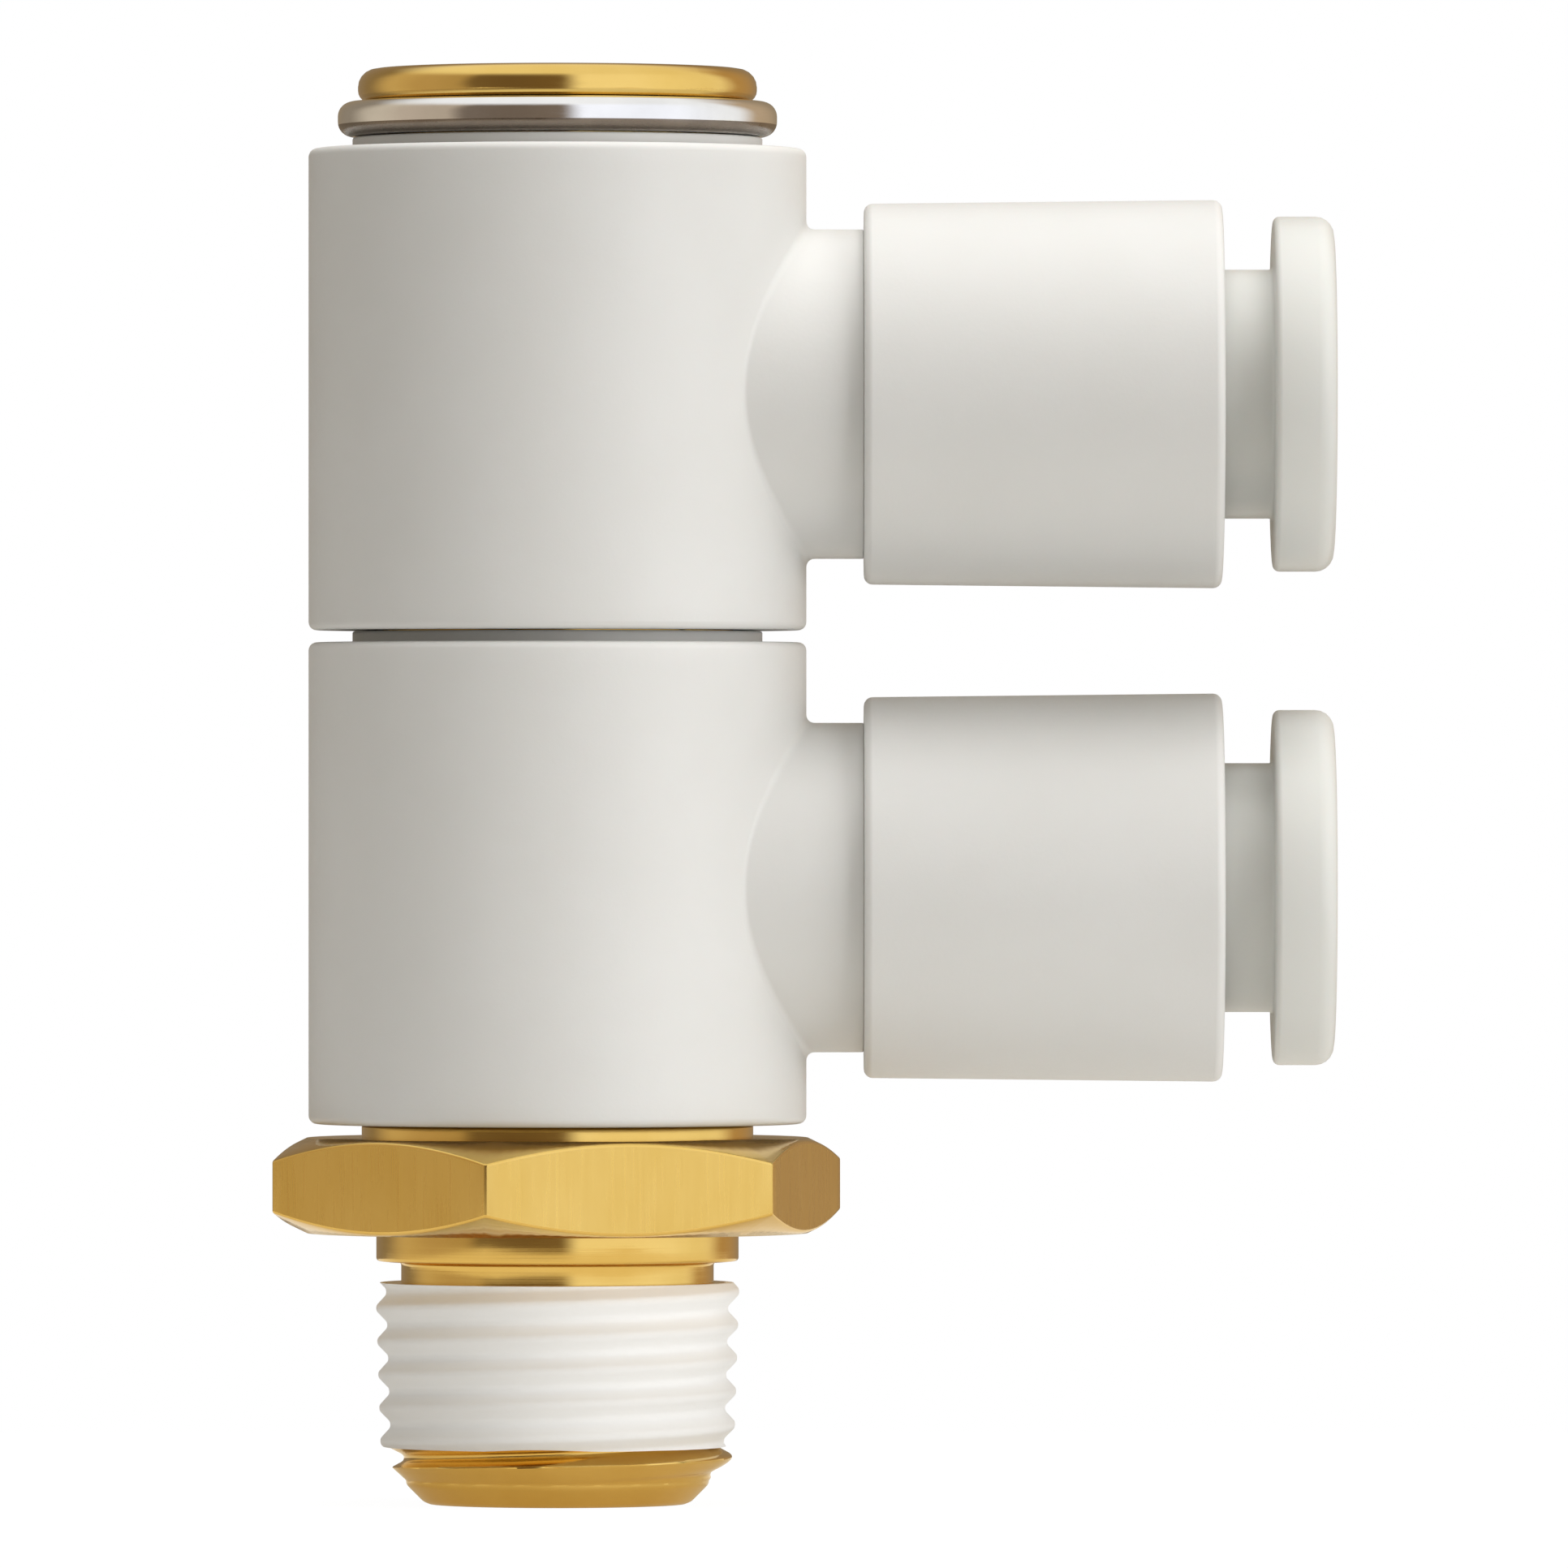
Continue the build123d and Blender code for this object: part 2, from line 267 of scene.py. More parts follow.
class Soup:
    """Points and faces gathered for one mesh; points that meet are merged at the end."""

    def __init__(self):
        self.points = []
        self.faces = []

    def grid(self, columns, closed=False):
        """Quads between neighbouring columns; closed joins each column's ends too."""
        first = len(self.points)
        size = len(columns[0])
        for column in columns:
            self.points.extend(Vector(point) for point in column)
        rows = size if closed else size - 1
        for c in range(len(columns) - 1):
            for row in range(rows):
                up = (row + 1) % size
                a = first + c * size
                b = a + size
                self.faces.append((a + row, b + row, b + up, a + up))

    def turn(self, outline, angles, closed=False):
        """Faces of an outline (radius, height) turned about Z through the angles."""
        self.grid([[turn_about_z(r, z, angle) for r, z in outline] for angle in angles], closed)

    def mesh(self, name, place=Matrix.Identity(4)):
        """Closed mesh in metres, placed in the frame."""
        mesh = bpy.data.meshes.new(name)
        mesh.from_pydata([place @ point * MM for point in self.points], [], self.faces)
        bm = bmesh.new()
        bm.from_mesh(mesh)
        bmesh.ops.remove_doubles(bm, verts=bm.verts, dist=merge_reach)
        bmesh.ops.dissolve_degenerate(bm, edges=bm.edges, dist=sliver_reach)
        bmesh.ops.recalc_face_normals(bm, faces=bm.faces)
        bm.to_mesh(mesh)
        bm.free()
        return mesh


def lathe(outline, count=128):
    """Soup of a closed outline turned about Z."""
    soup = Soup()
    soup.turn(outline, [2 * pi * step / count for step in range(count + 1)], closed=True)
    return soup


def port_place(level):
    """Matrix that lays a turned piece along the port, its height axis along +X."""
    height = body_base[level] + port_height
    return Matrix.Translation((0, 0, height)) @ Matrix.Rotation(pi / 2, 4, "Y")


def add_object(name, data):
    """New object in the scene's own collection."""
    made = bpy.data.objects.new(name, data)
    bpy.context.scene.collection.objects.link(made)
    return made


def add_piece(name, mesh, body, replaces, materials, cutters=()):
    """Object for a mesh, cut by boxes or pins, smooth-shaded, and tied to its CAD body."""
    piece = add_object(name, mesh)
    for cutter in cutters:
        cut = piece.modifiers.new("cut", "BOOLEAN")
        cut.operation = "DIFFERENCE"
        cut.solver = "EXACT"
        cut.object = cutter
    if cutters:
        bpy.context.view_layer.update()
        evaluated = piece.evaluated_get(bpy.context.evaluated_depsgraph_get())
        result = bpy.data.meshes.new_from_object(evaluated)
        piece.modifiers.clear()
        piece.data = result
        for cutter in cutters:
            bpy.data.objects.remove(cutter)
    for entry in materials:
        piece.data.materials.append(entry)
    piece.data.polygons.foreach_set("use_smooth", [True] * len(piece.data.polygons))
    piece.data.set_sharp_from_angle(angle=sharp_angle)
    weighted = piece.modifiers.new("weighted_normals", "WEIGHTED_NORMAL")
    weighted.keep_sharp = True
    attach(piece, body)
    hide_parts(*replaces)
    return piece


def use_second_material(piece, chosen):
    """Second material on the faces chosen by their normal, height and distance from Z."""
    for face in piece.data.polygons:
        centre = face.center / MM
        face.material_index = int(chosen(face.normal, centre.z, hypot(centre.x, centre.y)))


def add_cutter(bm, place):
    """Object for a boolean to take away, from a bmesh in millimetres."""
    bm.transform(place)
    bm.transform(Matrix.Scale(MM, 4))
    mesh = bpy.data.meshes.new("cutter")
    bm.to_mesh(mesh)
    bm.free()
    return add_object("cutter", mesh)


def box_cutter(size, place):
    bm = bmesh.new()
    bmesh.ops.create_cube(bm, size=1.0)
    bm.transform(Matrix.Diagonal((*size, 1)))
    return add_cutter(bm, place)


def pin_cutter(radius, length, place):
    bm = bmesh.new()
    bmesh.ops.create_cone(
        bm, cap_ends=True, segments=48, radius1=radius, radius2=radius, depth=length
    )
    return add_cutter(bm, place)


# Shader helpers; most of a noise lies in its span
noise_span = (0.3, 0.7)
noise_roughness = 0.55


class Nodes:
    """Node tree of a material or world, with short calls for the nodes that are used here."""

    def __init__(self, owner):
        owner.use_nodes = True
        self.tree = owner.node_tree

    def feed(self, node, inputs):
        """Link or set inputs, given by name or number; a colour gets its alpha here."""
        for key, value in inputs.items():
            socket = node.inputs[key]
            if isinstance(value, bpy.types.NodeSocket):
                self.tree.links.new(value, socket)
            elif socket.type == "RGBA":
                socket.default_value = (*value, 1)
            else:
                socket.default_value = value

    def node(self, kind, inputs=None):
        made = self.tree.nodes.new(kind)
        self.feed(made, inputs or {})
        return made

    def math(self, operation, *values):
        made = self.node("ShaderNodeMath", dict(enumerate(values)))
        made.operation = operation
        return made.outputs[0]

    def mix(self, factor, a, b):
        """Colour between two colours."""
        made = self.node("ShaderNodeMix", {"Factor": factor})
        made.data_type = "RGBA"
        self.feed(made, {"A": a, "B": b})
        return made.outputs["Result"]

    def ramp(self, value, span, to=(0.0, 1.0), kind="LINEAR"):
        """Value moved from one span to another."""
        made = self.node("ShaderNodeMapRange", {
            "Value": value,
            "From Min": span[0],
            "From Max": span[1],
            "To Min": to[0],
            "To Max": to[1],
        })
        made.interpolation_type = kind
        return made.outputs["Result"]


class Shader(Nodes):
    """Principled material, with the drift of colour and the grain that every finish has."""

    def __init__(self, name, inputs):
        self.material = bpy.data.materials.new(name)
        super().__init__(self.material)
        self.surface = self.tree.nodes["Principled BSDF"]
        self.feed(self.surface, inputs)
        self.place = self.node("ShaderNodeTexCoord").outputs["Object"]

    def scaled(self, x, y, z):
        """Place in cycles per millimetre along each axis."""
        scale = (x / MM, y / MM, z / MM)
        mapping = self.node("ShaderNodeMapping", {"Vector": self.place, "Scale": scale})
        return mapping.outputs["Vector"]

    def about_z(self, across, around):
        """Place as distance from Z and height, across in cycles per mm, and slowly around."""
        flat = self.node("ShaderNodeVectorMath", {0: self.place, 1: (1, 1, 0)})
        flat.operation = "MULTIPLY"
        distance = self.node("ShaderNodeVectorMath", {0: flat.outputs["Vector"]})
        distance.operation = "LENGTH"
        split = self.node("ShaderNodeSeparateXYZ", {"Vector": self.place})
        joined = self.node("ShaderNodeCombineXYZ", {
            "X": self.math("MULTIPLY", distance.outputs["Value"], across / MM),
            "Y": self.math("MULTIPLY", split.outputs["X"], around / MM),
            "Z": self.math("MULTIPLY", split.outputs["Z"], across / MM),
        })
        return joined.outputs["Vector"]

    def noise(self, place, detail):
        made = self.node("ShaderNodeTexNoise", {
            "Vector": place,
            "Scale": 1.0,
            "Detail": detail,
            "Roughness": noise_roughness,
        })
        return made.outputs["Fac"]

    def drift(self, place, detail, dark, light):
        """Base colour that wanders between two tones."""
        tone = self.mix(self.noise(place, detail), dark, light)
        self.feed(self.surface, {"Base Color": tone})

    def grain(self, place, detail, smoothest, roughest, height, strength):
        """Fine relief, its height in millimetres, with a roughness that follows it."""
        relief = self.noise(place, detail)
        rough = self.ramp(relief, noise_span, (smoothest, roughest))
        bump = self.node("ShaderNodeBump", {
            "Height": relief,
            "Distance": height * MM,
            "Strength": strength,
        })
        self.feed(self.surface, {"Roughness": rough, "Normal": bump.outputs["Normal"]})


def turned_brass():
    """Brass off the lathe: fine rings round the axis, also on its faces, and colour drift."""
    shader = Shader("brass_turned", {"Metallic": 1.0})
    shader.drift(shader.scaled(0.35, 0.35, 0.35), 4, (0.72, 0.46, 0.10), (0.88, 0.63, 0.21))
    shader.grain(shader.about_z(9.0, 0.08), 3, 0.08, 0.18, height=0.0025, strength=0.5)
    return shader.material


def drawn_brass():
    """Brass of the drawn hexagon bar: fine grain along the bar."""
    shader = Shader("brass_drawn", {"Metallic": 1.0})
    shader.drift(shader.scaled(0.5, 0.5, 0.2), 4, (0.70, 0.45, 0.095), (0.85, 0.61, 0.20))
    shader.grain(shader.scaled(9.0, 9.0, 0.35), 4, 0.25, 0.35, height=0.003, strength=0.5)
    return shader.material


def steel(name, dark, light, smoothest, roughest):
    """Stamped and tumbled steel."""
    shader = Shader(name, {"Metallic": 1.0})
    shader.drift(shader.scaled(0.8, 0.8, 0.8), 4, dark, light)
    place = shader.scaled(1.5, 1.5, 12.0)
    shader.grain(place, 3, smoothest, roughest, height=0.003, strength=0.4)
    return shader.material


def plastic(name, dark, light, rough, grain_height, translucency=0.0):
    """Moulded resin: faint cloudy colour, a fine spark-eroded grain and a satin sheen."""
    shader = Shader(name, {
        "IOR": 1.5,
        "Subsurface Weight": translucency,
        "Subsurface Scale": 0.4 * MM,
    })
    shader.drift(shader.scaled(0.22, 0.22, 0.22), 3, dark, light)
    place = shader.scaled(7.0, 7.0, 7.0)
    shader.grain(place, 3, rough - 0.05, rough + 0.06, height=grain_height, strength=0.5)
    return shader.material


def rubber():
    """Dark moulded rubber."""
    shader = Shader("rubber_black", {"IOR": 1.5})
    shader.drift(shader.scaled(1.0, 1.0, 1.0), 3, (0.012, 0.012, 0.013), (0.03, 0.03, 0.031))
    shader.grain(shader.scaled(9.0, 9.0, 9.0), 3, 0.42, 0.6, height=0.01, strength=0.5)
    return shader.material


def sealant():
    """White sealant: chalky, brushed on round the thread, a little uneven."""
    shader = Shader("sealant_white", {"IOR": 1.45, "Sheen Weight": 0.4, "Sheen Roughness": 0.5})
    shader.drift(shader.scaled(0.5, 0.5, 1.6), 4, (0.95, 0.95, 0.945), (1.0, 1.0, 0.995))
    shader.grain(shader.scaled(1.6, 1.6, 5.0), 4, 0.5, 0.7, height=0.02, strength=0.6)
    return shader.material


brass_turned = turned_brass()
brass_drawn = drawn_brass()
bright_steel = steel("steel_bright", (0.74, 0.735, 0.72), (0.92, 0.915, 0.90), 0.07, 0.16)
# Sheared steel of the washer's lower rim, far darker than steel's own tone: partly its dull
# sheared finish, partly painted shade under the rim
sheared_steel_painted_shade = steel("steel_sheared_painted_shade", (0.17, 0.14, 0.115), (0.30, 0.25, 0.20), 0.22, 0.36)
body_plastic = plastic(
    "resin_body", (0.70, 0.692, 0.668), (0.765, 0.76, 0.744), 0.40, 0.006, translucency=0.03
)
button_plastic = plastic(
    "resin_button", (0.67, 0.67, 0.635), (0.735, 0.735, 0.705), 0.34, 0.004, translucency=0.05
)
collet_plastic = plastic("resin_collet", (0.68, 0.66, 0.60), (0.76, 0.74, 0.69), 0.38, 0.004)
black_rubber = rubber()
white_sealant = sealant()


# Thread form


def crest_r(z):
    """Crest radius of the taper thread at a height."""
    return crest_gauge_r + (z - crest_gauge_z) * taper / 2


def drop_from_crest(z, angle):
    """How far the rounded thread form lies under its crest line."""
    crest = crest_phase + pitch * (angle - pi) / (2 * pi)
    along = (z - crest) / pitch
    offset = abs(along - round(along)) * pitch
    bend = crest_round * cos(flank_angle)
    fall = crest_round * (1 - sin(flank_angle))
    if offset < bend:
        return crest_round - sqrt(crest_round ** 2 - offset ** 2)
    from_root = pitch / 2 - offset
    flank = (pitch / 2 - 2 * bend) / tan(flank_angle)
    if from_root < bend:
        return 2 * fall + flank - (crest_round - sqrt(crest_round ** 2 - from_root ** 2))
    return fall + (offset - bend) / tan(flank_angle)


def soft_least(a, b):
    """The lesser of two radii, blended where they meet."""
    near = max(0, end_blend - abs(a - b))
    return min(a, b) - near ** 2 / (4 * end_blend)


def thread_r(z, angle):
    """Brass thread, which starts above a short land with a chamfered end."""
    chamfer = end_face_r + z - end_break * max(0, 1 - z / end_break) ** 2
    start = land_r + max(0, z - land_top) * start_slope
    flank = crest_r(z) - drop_from_crest(z, angle)
    return soft_least(soft_least(chamfer, start), flank)


def sealant_r(z, angle):
    """Outside of the sealant: a skin on the crests, and more in the roots."""
    drop = drop_from_crest(z, angle)
    share = drop / thread_depth
    return crest_r(z) - drop + sealant_skin + (sealant_fill - sealant_skin) * share


def helix_heights(low, high, angle):
    """Heights that follow the helix; those past either end of the thread lie on it."""
    start = low - pitch
    count = int((high - low + pitch) / pitch * rows_per_turn) + rows_per_turn + 2
    lift = pitch * angle / (2 * pi)
    heights = (start + lift + pitch * row / rows_per_turn for row in range(count))
    return [min(max(height, low), high) for height in heights]


# Stud: one mesh from the thread's end to the rolled head


def hexagon_radii():
    """Pairs of angle and radius round the hexagon, with its corners rounded."""
    corner_r = hex_flat_r / cos(pi / 6)
    corners = []
    for side in range(6):
        angle = hex_turn + pi / 3 * side
        corners.append((corner_r * cos(angle), corner_r * sin(angle), hex_corner_r))
    arcs = rounded(corners, hex_arc_steps)
    size = hex_arc_steps + 1
    points = []
    for first in range(0, len(arcs), size):
        arc = arcs[first:first + size]
        following = arcs[(first + size) % len(arcs)]
        points += arc
        for step in range(1, hex_side_steps):
            points.append(arc[-1].lerp(following, step / hex_side_steps))
    polar = sorted((atan2(point.y, point.x) % (2 * pi), point.length) for point in points)
    angle, radius = polar[0]
    return polar + [(angle + 2 * pi, radius)]


def shaft_grooves():
    """Corners of each level's O-ring grooves and of the waist between them."""
    corners = []
    for base in body_base.values():
        for centre, width, floor in (
            (base + groove_inset, groove_width, groove_r),
            (base + port_height, waist_width, waist_r),
            (base + barrel_height - groove_inset, groove_width, groove_r),
        ):
            corners += [
                (shaft_r, centre - width / 2, groove_edge),
                (floor, centre - width / 2, groove_root),
                (floor, centre + width / 2, groove_root),
                (shaft_r, centre + width / 2, groove_edge),
            ]
    return corners


def stud_outline(angle, hex_r):
    """Outline of the stud at one angle, from the drill point round to the recess's centre."""
    bore = [
        (0, bore_end, 0),
        (waterway_r, bore_end - waterway_r / tan(drill_half_angle), 0),
        (waterway_r, bore_chamfer, 0),
        (waterway_r + bore_chamfer, 0, 0),
    ]
    thread = [(thread_r(z, angle), z, 0) for z in helix_heights(0, thread_top, angle)]
    reach = (hex_r - hex_chamfer_r) * hex_chamfer_slope
    hexagon = [
        (relief_r, thread_top, 0),
        (relief_r, collar_low, relief_root),
        (collar_r, collar_low, collar_edge),
        (collar_r, hex_low, 0),
        (hex_chamfer_r, hex_low, 0),
        (hex_r, hex_low + reach, hex_edge),
        (hex_r, hex_high - reach, hex_edge),
        (hex_chamfer_r, hex_high, 0),
        (shoulder_r, hex_high, 0),
        (shoulder_r, shoulder_top, shoulder_edge),
        (shaft_r, shoulder_top, 0),
    ]
    head = [
        (shaft_r, head_low, 0),
        (head_r, head_low, head_low_edge),
        (head_r, stud_top, head_top_edge),
        (recess_r, stud_top, recess_edge),
        (recess_r, stud_top - recess_depth, recess_root),
        (0, stud_top - recess_depth, 0),
    ]
    return rounded(bore + thread + hexagon + shaft_grooves() + head)


def make_stud():
    """Stud with cross holes at each port; the hexagon's sides are drawn brass."""
    def hexagon_side(normal, height, distance):
        beside = hex_low < height < hex_high and distance > hex_side_least_r
        return beside and abs(normal.z) < hex_side_tilt

    soup = Soup()
    soup.grid([
        [turn_about_z(r, z, angle) for r, z in stud_outline(angle, hex_r)]
        for angle, hex_r in hexagon_radii()
    ])
    holes = []
    for base in body_base.values():
        centre = Matrix.Translation((0, 0, base + port_height))
        for axis in ("X", "Y"):
            place = centre @ Matrix.Rotation(pi / 2, 4, axis)
            holes.append(pin_cutter(cross_hole_r, cross_pin_length, place))
    stud = add_piece(
        "brass_stud", soup.mesh("brass_stud"), "stud", ["stud"],
        [brass_turned, brass_drawn], holes
    )
    use_second_material(stud, hexagon_side)


def make_sealant():
    """Sealant shell between the brass thread and its own outer face."""
    columns = []
    for step in range(sealant_steps + 1):
        angle = 2 * pi * step / sealant_steps
        low = sealant_low + sealant_wave * sin(3 * angle) + sealant_ripple * sin(7 * angle + 1)
        heights = [max(z, low) for z in helix_heights(sealant_low, thread_top, angle)]
        columns.append(
            [turn_about_z(sealant_r(z, angle), z, angle) for z in heights]
            + [turn_about_z(thread_r(z, angle) + sealant_gap, z, angle) for z in heights[::-1]]
        )
    soup = Soup()
    soup.grid(columns, closed=True)
    add_piece(
        "sealant_coat", soup.mesh("sealant_coat"), "stud", ["thread_sealant"],
        [white_sealant]
    )


def make_washer():
    """Washer with rolled edges; the lower part of its rim is sheared steel with painted shade, far
    darker than the bright steel.
    """
    outer_r = washer_high.x
    thickness = washer_high.z - washer_low.z
    arc = thickness * washer_arc_share
    sheared_shade_z = washer_low.z + washer_sheared_shade_share * thickness

    # The lower rim, which faces down, gets the dark steel: sheared finish and painted shade
    # together
    def sheared_rim_painted_shade(normal, height, distance):
        return height < sheared_shade_z and distance > outer_r - arc

    outline = rounded([
        (bore_r, washer_low.z, 0),
        (outer_r, washer_low.z, arc),
        (outer_r, washer_high.z, arc),
        (bore_r, washer_high.z, 0),
    ], steps=8)
    washer = add_piece(
        "steel_washer", lathe(outline, count=160).mesh("steel_washer"), "stud",
        ["retaining_washer"], [bright_steel, sheared_steel_painted_shade]
    )
    use_second_material(washer, sheared_rim_painted_shade)


def make_o_ring(level, end):
    """Round-section ring, squeezed between its groove's floor and the barrel's bore."""
    node = f"{level}_{end}_o_ring"
    low, high = node_box(node)
    outline = rounded([
        (groove_r, low.z, o_ring_round),
        (high.x, low.z, o_ring_round),
        (high.x, high.z, o_ring_round),
        (groove_r, high.z, o_ring_round),
    ], steps=8)
    add_piece(
        f"{node}_round", lathe(outline).mesh("o_ring"), "stud", [node],
        [black_rubber]
    )


# Elbow body: a barrel wall with a hole, a rolled fillet and the port's passage


def patch_angles():
    """Angles round the port, starting towards the patch's lower left corner."""
    count = 4 * patch_steps
    return [radians(225) + 2 * pi * step / count for step in range(count + 1)]


def patch_rim(low, high):
    """Points (angle, height) round the patch's rim, in the order of patch_angles."""
    rim = []
    for step in range(4 * patch_steps + 1):
        side, along = divmod(step, patch_steps)
        share = along / patch_steps
        across = patch_angle * (2 * share - 1)
        up = low + (high - low) * share
        down = low + high - up
        rim.append([
            (across, low),
            (patch_angle, up),
            (-across, high),
            (-patch_angle, down),
            (-patch_angle, low),
        ][side])
    return rim


def wall_patch(soup, wall_r, hole, low, high):
    """Part of a barrel wall between a hole and the patch's rim."""
    columns = []
    for (hole_angle, hole_z), (rim_angle, rim_z) in zip(hole, patch_rim(low, high)):
        column = []
        for ring in range(patch_rings + 1):
            share = (ring / patch_rings) ** ring_crowding
            angle = hole_angle + (rim_angle - hole_angle) * share
            column.append(turn_about_z(wall_r, hole_z + (rim_z - hole_z) * share, angle))
        columns.append(column)
    soup.grid(columns)


def upright(radius, low, high):
    """Wall of a barrel at one angle, with a point for each step of the patches."""
    return [
        Vector((radius, low + (high - low) * step / patch_steps))
        for step in range(patch_steps + 1)
    ]


def barrel_shell(soup):
    """Everything of the barrel but the two wall patches in front of the port."""
    # The first and last corner of foot and crown are there only for the arcs beside them.
    foot = rounded([
        (bore_r, bore_low, 0),
        (bore_r + bore_lead_in, 0, 0),
        (barrel_r, 0, barrel_edge),
        (barrel_r, wall_low + 1, 0),
    ])[1:-1]
    crown = rounded([
        (barrel_r, wall_high - 1, 0),
        (barrel_r, barrel_height, barrel_edge),
        (boss_r, barrel_height, 0),
        (boss_r, boss_top, boss_edge),
        (bore_r + bore_lead_in, boss_top, 0),
        (bore_r, bore_high, 0),
    ])[1:-1]
    outer = upright(barrel_r, wall_low, wall_high)
    inner = upright(bore_r, bore_low, bore_high)
    back = [
        patch_angle + (2 * pi - 2 * patch_angle) * step / back_steps
        for step in range(back_steps + 1)
    ]
    front = [patch_angle * (2 * step / patch_steps - 1) for step in range(patch_steps + 1)]
    soup.turn(foot[:-1] + outer + crown[1:] + inner[::-1], back, closed=True)
    soup.turn([inner[0]] + foot, front)
    soup.turn(crown + [inner[-1]], front)


def port_outline(start):
    """Outline (radius, distance from Z) along the neck and back down the port's bore."""
    return rounded([
        (neck_r, start, 0),
        (neck_r, neck_end, neck_edge),
        (spigot_r, neck_end, 0),
        (spigot_r, spigot_end, spigot_edge),
        (pocket_r, spigot_end, spigot_edge),
        (pocket_r, seal_seat, 0),
        (port_bore_r + tube_chamfer, seal_seat, 0),
        (port_bore_r, seal_seat - tube_chamfer, 0),
        (port_bore_r, tube_stop, 0),
        (orifice_r, tube_stop, 0),
    ])[1:]


def elbow_soup():
    """Barrel and port, with the barrel's foot at height zero."""
    soup = Soup()
    barrel_shell(soup)
    outer_hole = []
    inner_hole = []
    passage = []
    for angle in patch_angles():
        ball_y = (neck_r + neck_fillet) * cos(angle)
        ball_z = (neck_r + neck_fillet) * sin(angle)
        ball_x = sqrt((barrel_r + neck_fillet) ** 2 - ball_y ** 2)
        ball = Vector((ball_x, ball_y, ball_z))
        to_wall = -Vector((ball_x, ball_y, 0)).normalized()
        to_neck = -Vector((0, cos(angle), sin(angle)))
        outer_hole.append((atan2(ball_y, ball_x), port_height + ball_z))
        column = [
            ball + to_wall.slerp(to_neck, step / fillet_steps) * neck_fillet
            for step in range(fillet_steps + 1)
        ]
        column += [
            Vector((x, r * cos(angle), r * sin(angle))) for r, x in port_outline(ball_x)
        ]
        hole_y = orifice_r * cos(angle)
        hole_z = orifice_r * sin(angle)
        hole_x = sqrt(bore_r ** 2 - hole_y ** 2)
        column.append(Vector((hole_x, hole_y, hole_z)))
        inner_hole.append((atan2(hole_y, hole_x), port_height + hole_z))
        passage.append([point + Vector((0, 0, port_height)) for point in column])
    soup.grid(passage)
    wall_patch(soup, barrel_r, outer_hole, wall_low, wall_high)
    wall_patch(soup, bore_r, inner_hole, bore_low, bore_high)
    return soup


def make_elbow(level):
    place = Matrix.Translation((0, 0, body_base[level]))
    add_piece(
        f"{level}_moulded_elbow", elbow_soup().mesh("elbow", place), f"{level}_elbow",
        [f"{level}_elbow_body"], [body_plastic]
    )


# Pieces turned about the port's axis


def make_sleeve(level):
    outline = rounded([
        (spigot_r, neck_end, sleeve_joint_edge),
        (sleeve_r, neck_end, sleeve_edge),
        (sleeve_mouth_r, sleeve_end, sleeve_edge),
        (sleeve_hole_r, sleeve_end, sleeve_hole_edge),
        (sleeve_hole_r, guide_end, 0),
        (spigot_r, guide_end, 0),
    ])
    add_piece(
        f"{level}_outer_sleeve", lathe(outline).mesh("sleeve", port_place(level)),
        f"{level}_elbow", [f"{level}_port_sleeve"], [body_plastic]
    )


def make_button(level):
    """Release button, with two crossing slits that let its bead snap in."""
    outline = rounded([
        (port_bore_r, nose_start, nose_edge),
        (nose_cone_r, nose_start, nose_edge),
        (nose_r, nose_cone_end, nose_cone_edge),
        (nose_r, bead_outer - 2 * bead_width, 0),
        (bead_r, bead_outer - bead_width, 0),
        (bead_r, bead_outer, 0),
        (nose_r, bead_outer, bead_root),
        (nose_r, button_neck_low, 0),
        (button_neck_r, button_neck_low, button_neck_edge),
        (button_neck_r, flange_base, button_neck_root),
        (flange_r, flange_base, flange_low_edge),
        (flange_r, mouth, flange_top_edge),
        (port_bore_r + mouth_flare, mouth, mouth_edge),
        (port_bore_r, mouth - mouth_depth, mouth_root),
    ])
    place = port_place(level)
    to_nose = Matrix.Translation((0, 0, button_low.x))
    slit = (slit_reach, slit_width, 2 * slit_depth)
    slits = [
        box_cutter(slit, place @ Matrix.Rotation(turn, 4, "Z") @ to_nose) for turn in (0, pi / 2)
    ]
    add_piece(
        f"{level}_push_button", lathe(outline).mesh("button", place), f"{level}_button",
        [f"{level}_release_button"], [button_plastic], slits
    )


def make_seal(level):
    outline = rounded([
        (pocket_r, seal_seat, seal_edge),
        (pocket_r, spigot_end, seal_edge),
        (seal_bore_r, spigot_end, seal_edge),
        (seal_bore_r, seal_seat + lip_base, seal_edge),
        (lip_r, seal_seat + lip_height, lip_edge),
        (lip_tip_r, seal_seat + lip_tip, seal_edge),
        (seal_wall_r - seal_groove_width, seal_seat + seal_groove_depth, seal_groove_root),
        (seal_wall_r, seal_seat + seal_groove_depth, seal_groove_root),
        (seal_wall_r + seal_wall_taper, seal_seat, seal_wall_edge),
    ], steps=3)
    add_piece(
        f"{level}_lip_seal", lathe(outline, count=96).mesh("seal", port_place(level)),
        f"{level}_elbow", [f"{level}_seal"], [black_rubber]
    )


make_stud()
make_sealant()
make_washer()
for level in LEVELS:
    make_o_ring(level, "bottom")
    make_o_ring(level, "top")
    make_elbow(level)
    make_sleeve(level)
    make_button(level)
    make_seal(level)

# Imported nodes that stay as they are: collets, chucks and guides, inside the ports
for name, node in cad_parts.items():
    if not node.hide_render:
        node.data.materials.clear()
        node.data.materials.append(collet_plastic if "collet" in name else bright_steel)


# Floor, light and camera, in metres
floor_half = 0.06
floor_drop = 0.00002
floor_matte = (0.72, 0.72, 0.71)
floor_strength = 1.05
floor_tint = (1.0, 0.80, 0.50)
plain_white = (1.0, 1.0, 1.0)

# How much of the floor's glow each kind of ray sees
floor_glow = {"Is Camera Ray": 0.93, "Is Glossy Ray": 0.36, "Is Transmission Ray": 0.93}

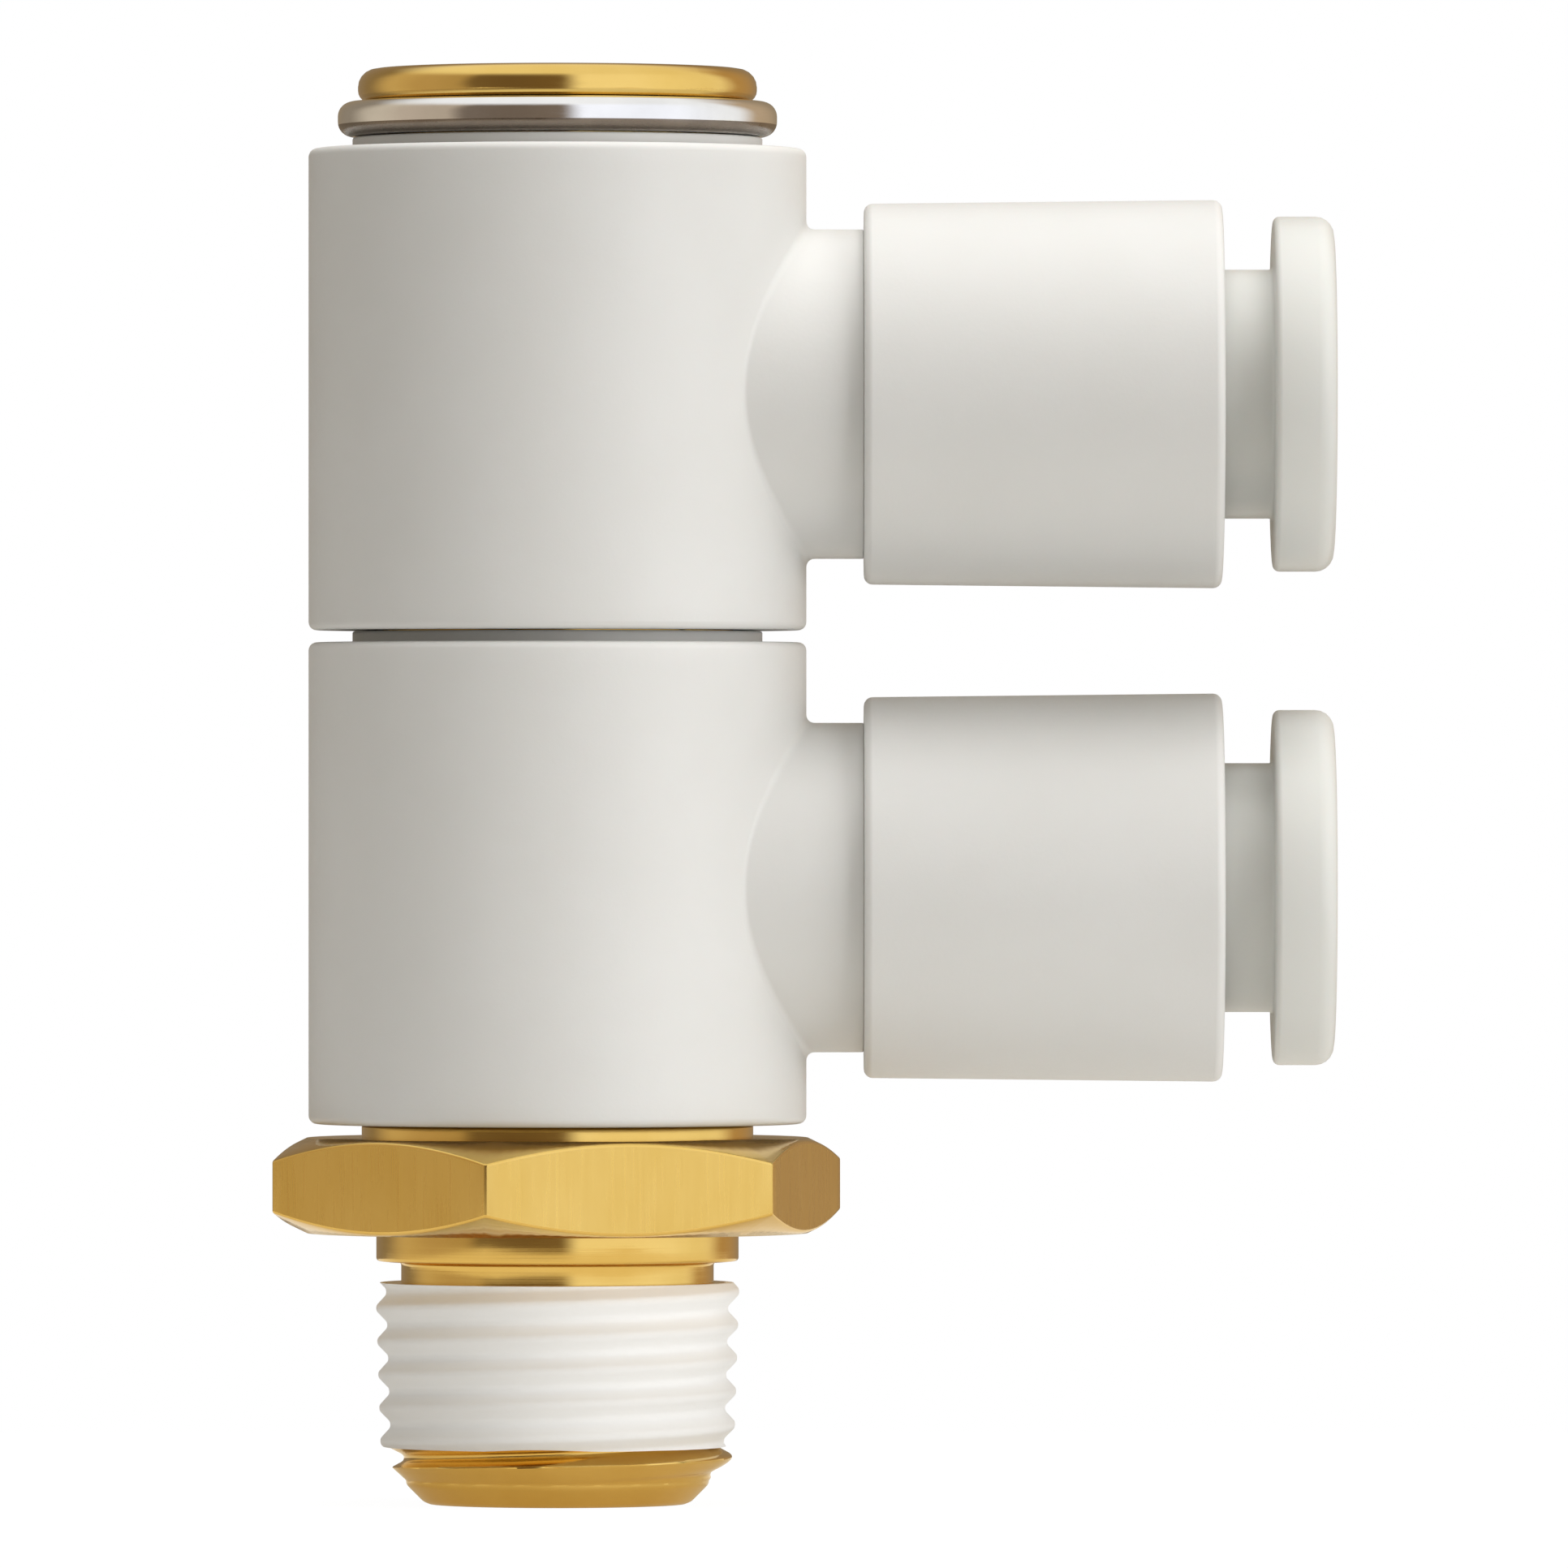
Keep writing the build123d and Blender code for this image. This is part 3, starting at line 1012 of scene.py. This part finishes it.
# Studio walls by bearing in degrees, from the camera's side towards +X. The ceiling takes
# over between two heights of a ray's direction.
studio_walls = [
    (-180, (0.29, 0.22, 0.14)),
    (-142, (0.28, 0.23, 0.17)),
    (-112, (0.62, 0.53, 0.41)),
    (-84, (0.54, 0.44, 0.34)),
    (-62, (0.50, 0.41, 0.31)),
    (-48, (0.19, 0.145, 0.11)),
    (-26, (0.17, 0.125, 0.09)),
    (2, (0.19, 0.14, 0.10)),
    (16, (1.10, 1.12, 1.20)),
    (60, (1.10, 1.12, 1.20)),
    (108, (1.0, 1.0, 1.0)),
    (132, (0.51, 0.37, 0.23)),
    (180, (0.29, 0.22, 0.14)),
]
ceiling_span = (0.5, 0.85)
fill_tint = (1.0, 0.965, 0.89)
fill_strength = 0.385

lamp_aim = Vector((0.006, 0, 0.02))
lamp_distance = 0.6
camera_distance = 0.55
camera_x = 0.00619
camera_z = 0.01966
picture_width = 0.04284
sensor_width = 36


def make_floor():
    """Matte under the lamps, and glowing white for the rays that see the background."""
    corners = [(-1, -1), (1, -1), (1, 1), (-1, 1)]
    mesh = bpy.data.meshes.new("floor")
    mesh.from_pydata([(floor_half * x, floor_half * y, 0) for x, y in corners], [], [(0, 1, 2, 3)])
    floor = add_object("floor", mesh)
    floor.location.z = -floor_drop
    material = bpy.data.materials.new("floor_white")
    nodes = Nodes(material)
    nodes.tree.nodes.clear()
    rays = nodes.node("ShaderNodeLightPath").outputs
    tint = nodes.mix(rays["Is Glossy Ray"], plain_white, floor_tint)
    glow = nodes.node("ShaderNodeEmission", {"Color": tint, "Strength": floor_strength})
    matte = nodes.node("ShaderNodeBsdfDiffuse", {"Color": floor_matte})
    seen = 0.0
    for name, share in floor_glow.items():
        seen = nodes.math("MULTIPLY_ADD", rays[name], share, seen)
    blend = nodes.node("ShaderNodeMixShader", {0: seen, 1: matte.outputs[0], 2: glow.outputs[0]})
    nodes.node("ShaderNodeOutputMaterial", {"Surface": blend.outputs[0]})
    mesh.materials.append(material)


def make_world():
    """White for the camera, studio walls with darker flags for metal, and a plain fill."""
    world = bpy.data.worlds.new("studio")
    bpy.context.scene.world = world
    nodes = Nodes(world)
    nodes.tree.nodes.clear()
    place = nodes.node("ShaderNodeTexCoord").outputs["Generated"]
    direction = nodes.node("ShaderNodeSeparateXYZ", {0: place}).outputs
    to_camera = nodes.math("MULTIPLY", direction["Y"], -1.0)
    bearing = nodes.math("ARCTAN2", direction["X"], to_camera)
    walls = nodes.node("ShaderNodeValToRGB", {"Fac": nodes.ramp(bearing, (-pi, pi))})
    walls.color_ramp.interpolation = "EASE"
    elements = walls.color_ramp.elements
    while len(elements) < len(studio_walls):
        elements.new(0.5)
    for element, (degrees, color) in zip(elements, studio_walls):
        element.position = (degrees + 180) / 360
        element.color = (*color, 1)
    ceiling = nodes.ramp(direction["Z"], ceiling_span, kind="SMOOTHSTEP")
    room = nodes.mix(ceiling, walls.outputs["Color"], plain_white)
    studio = nodes.node("ShaderNodeBackground", {"Color": room})
    fill = nodes.node("ShaderNodeBackground", {"Color": fill_tint, "Strength": fill_strength})
    white = nodes.node("ShaderNodeBackground", {"Color": plain_white})
    rays = nodes.node("ShaderNodeLightPath").outputs
    for_metal = nodes.node("ShaderNodeMixShader", {
        0: rays["Is Glossy Ray"],
        1: fill.outputs[0],
        2: studio.outputs[0],
    })
    for_eye = nodes.node("ShaderNodeMixShader", {
        0: nodes.math("MAXIMUM", rays["Is Camera Ray"], rays["Is Transmission Ray"]),
        1: for_metal.outputs[0],
        2: white.outputs[0],
    })
    nodes.node("ShaderNodeOutputWorld", {"Surface": for_eye.outputs[0]})


def make_lamp(name, direction, size, strength):
    """Square area lamp; strength is the light it throws on a facing white surface."""
    data = bpy.data.lights.new(name, "AREA")
    data.shape = "SQUARE"
    data.size = size
    data.energy = strength * pi * pi * lamp_distance ** 2
    lamp = add_object(name, data)
    away = Vector(direction).normalized()
    lamp.location = lamp_aim + away * lamp_distance
    lamp.rotation_mode = "QUATERNION"
    lamp.rotation_quaternion = away.to_track_quat("Z", "Y")
    lamp.visible_glossy = False


def make_camera():
    """Long lens level with the part's middle, looking along +Y as in the photograph."""
    data = bpy.data.cameras.new("camera")
    data.sensor_width = sensor_width
    data.lens = sensor_width * camera_distance / picture_width
    data.clip_start = 0.01
    data.clip_end = 10
    camera = add_object("camera", data)
    camera.location = (camera_x, -camera_distance, camera_z)
    camera.rotation_euler = (pi / 2, 0, 0)
    bpy.context.scene.camera = camera


make_floor()
make_world()
make_lamp("key", (0.15, -0.06, 0.98), size=0.45, strength=0.915)
make_lamp("side", (0.78, -0.60, 0.17), size=0.40, strength=0.49)
make_camera()
bpy.context.scene.view_settings.view_transform = "Standard"
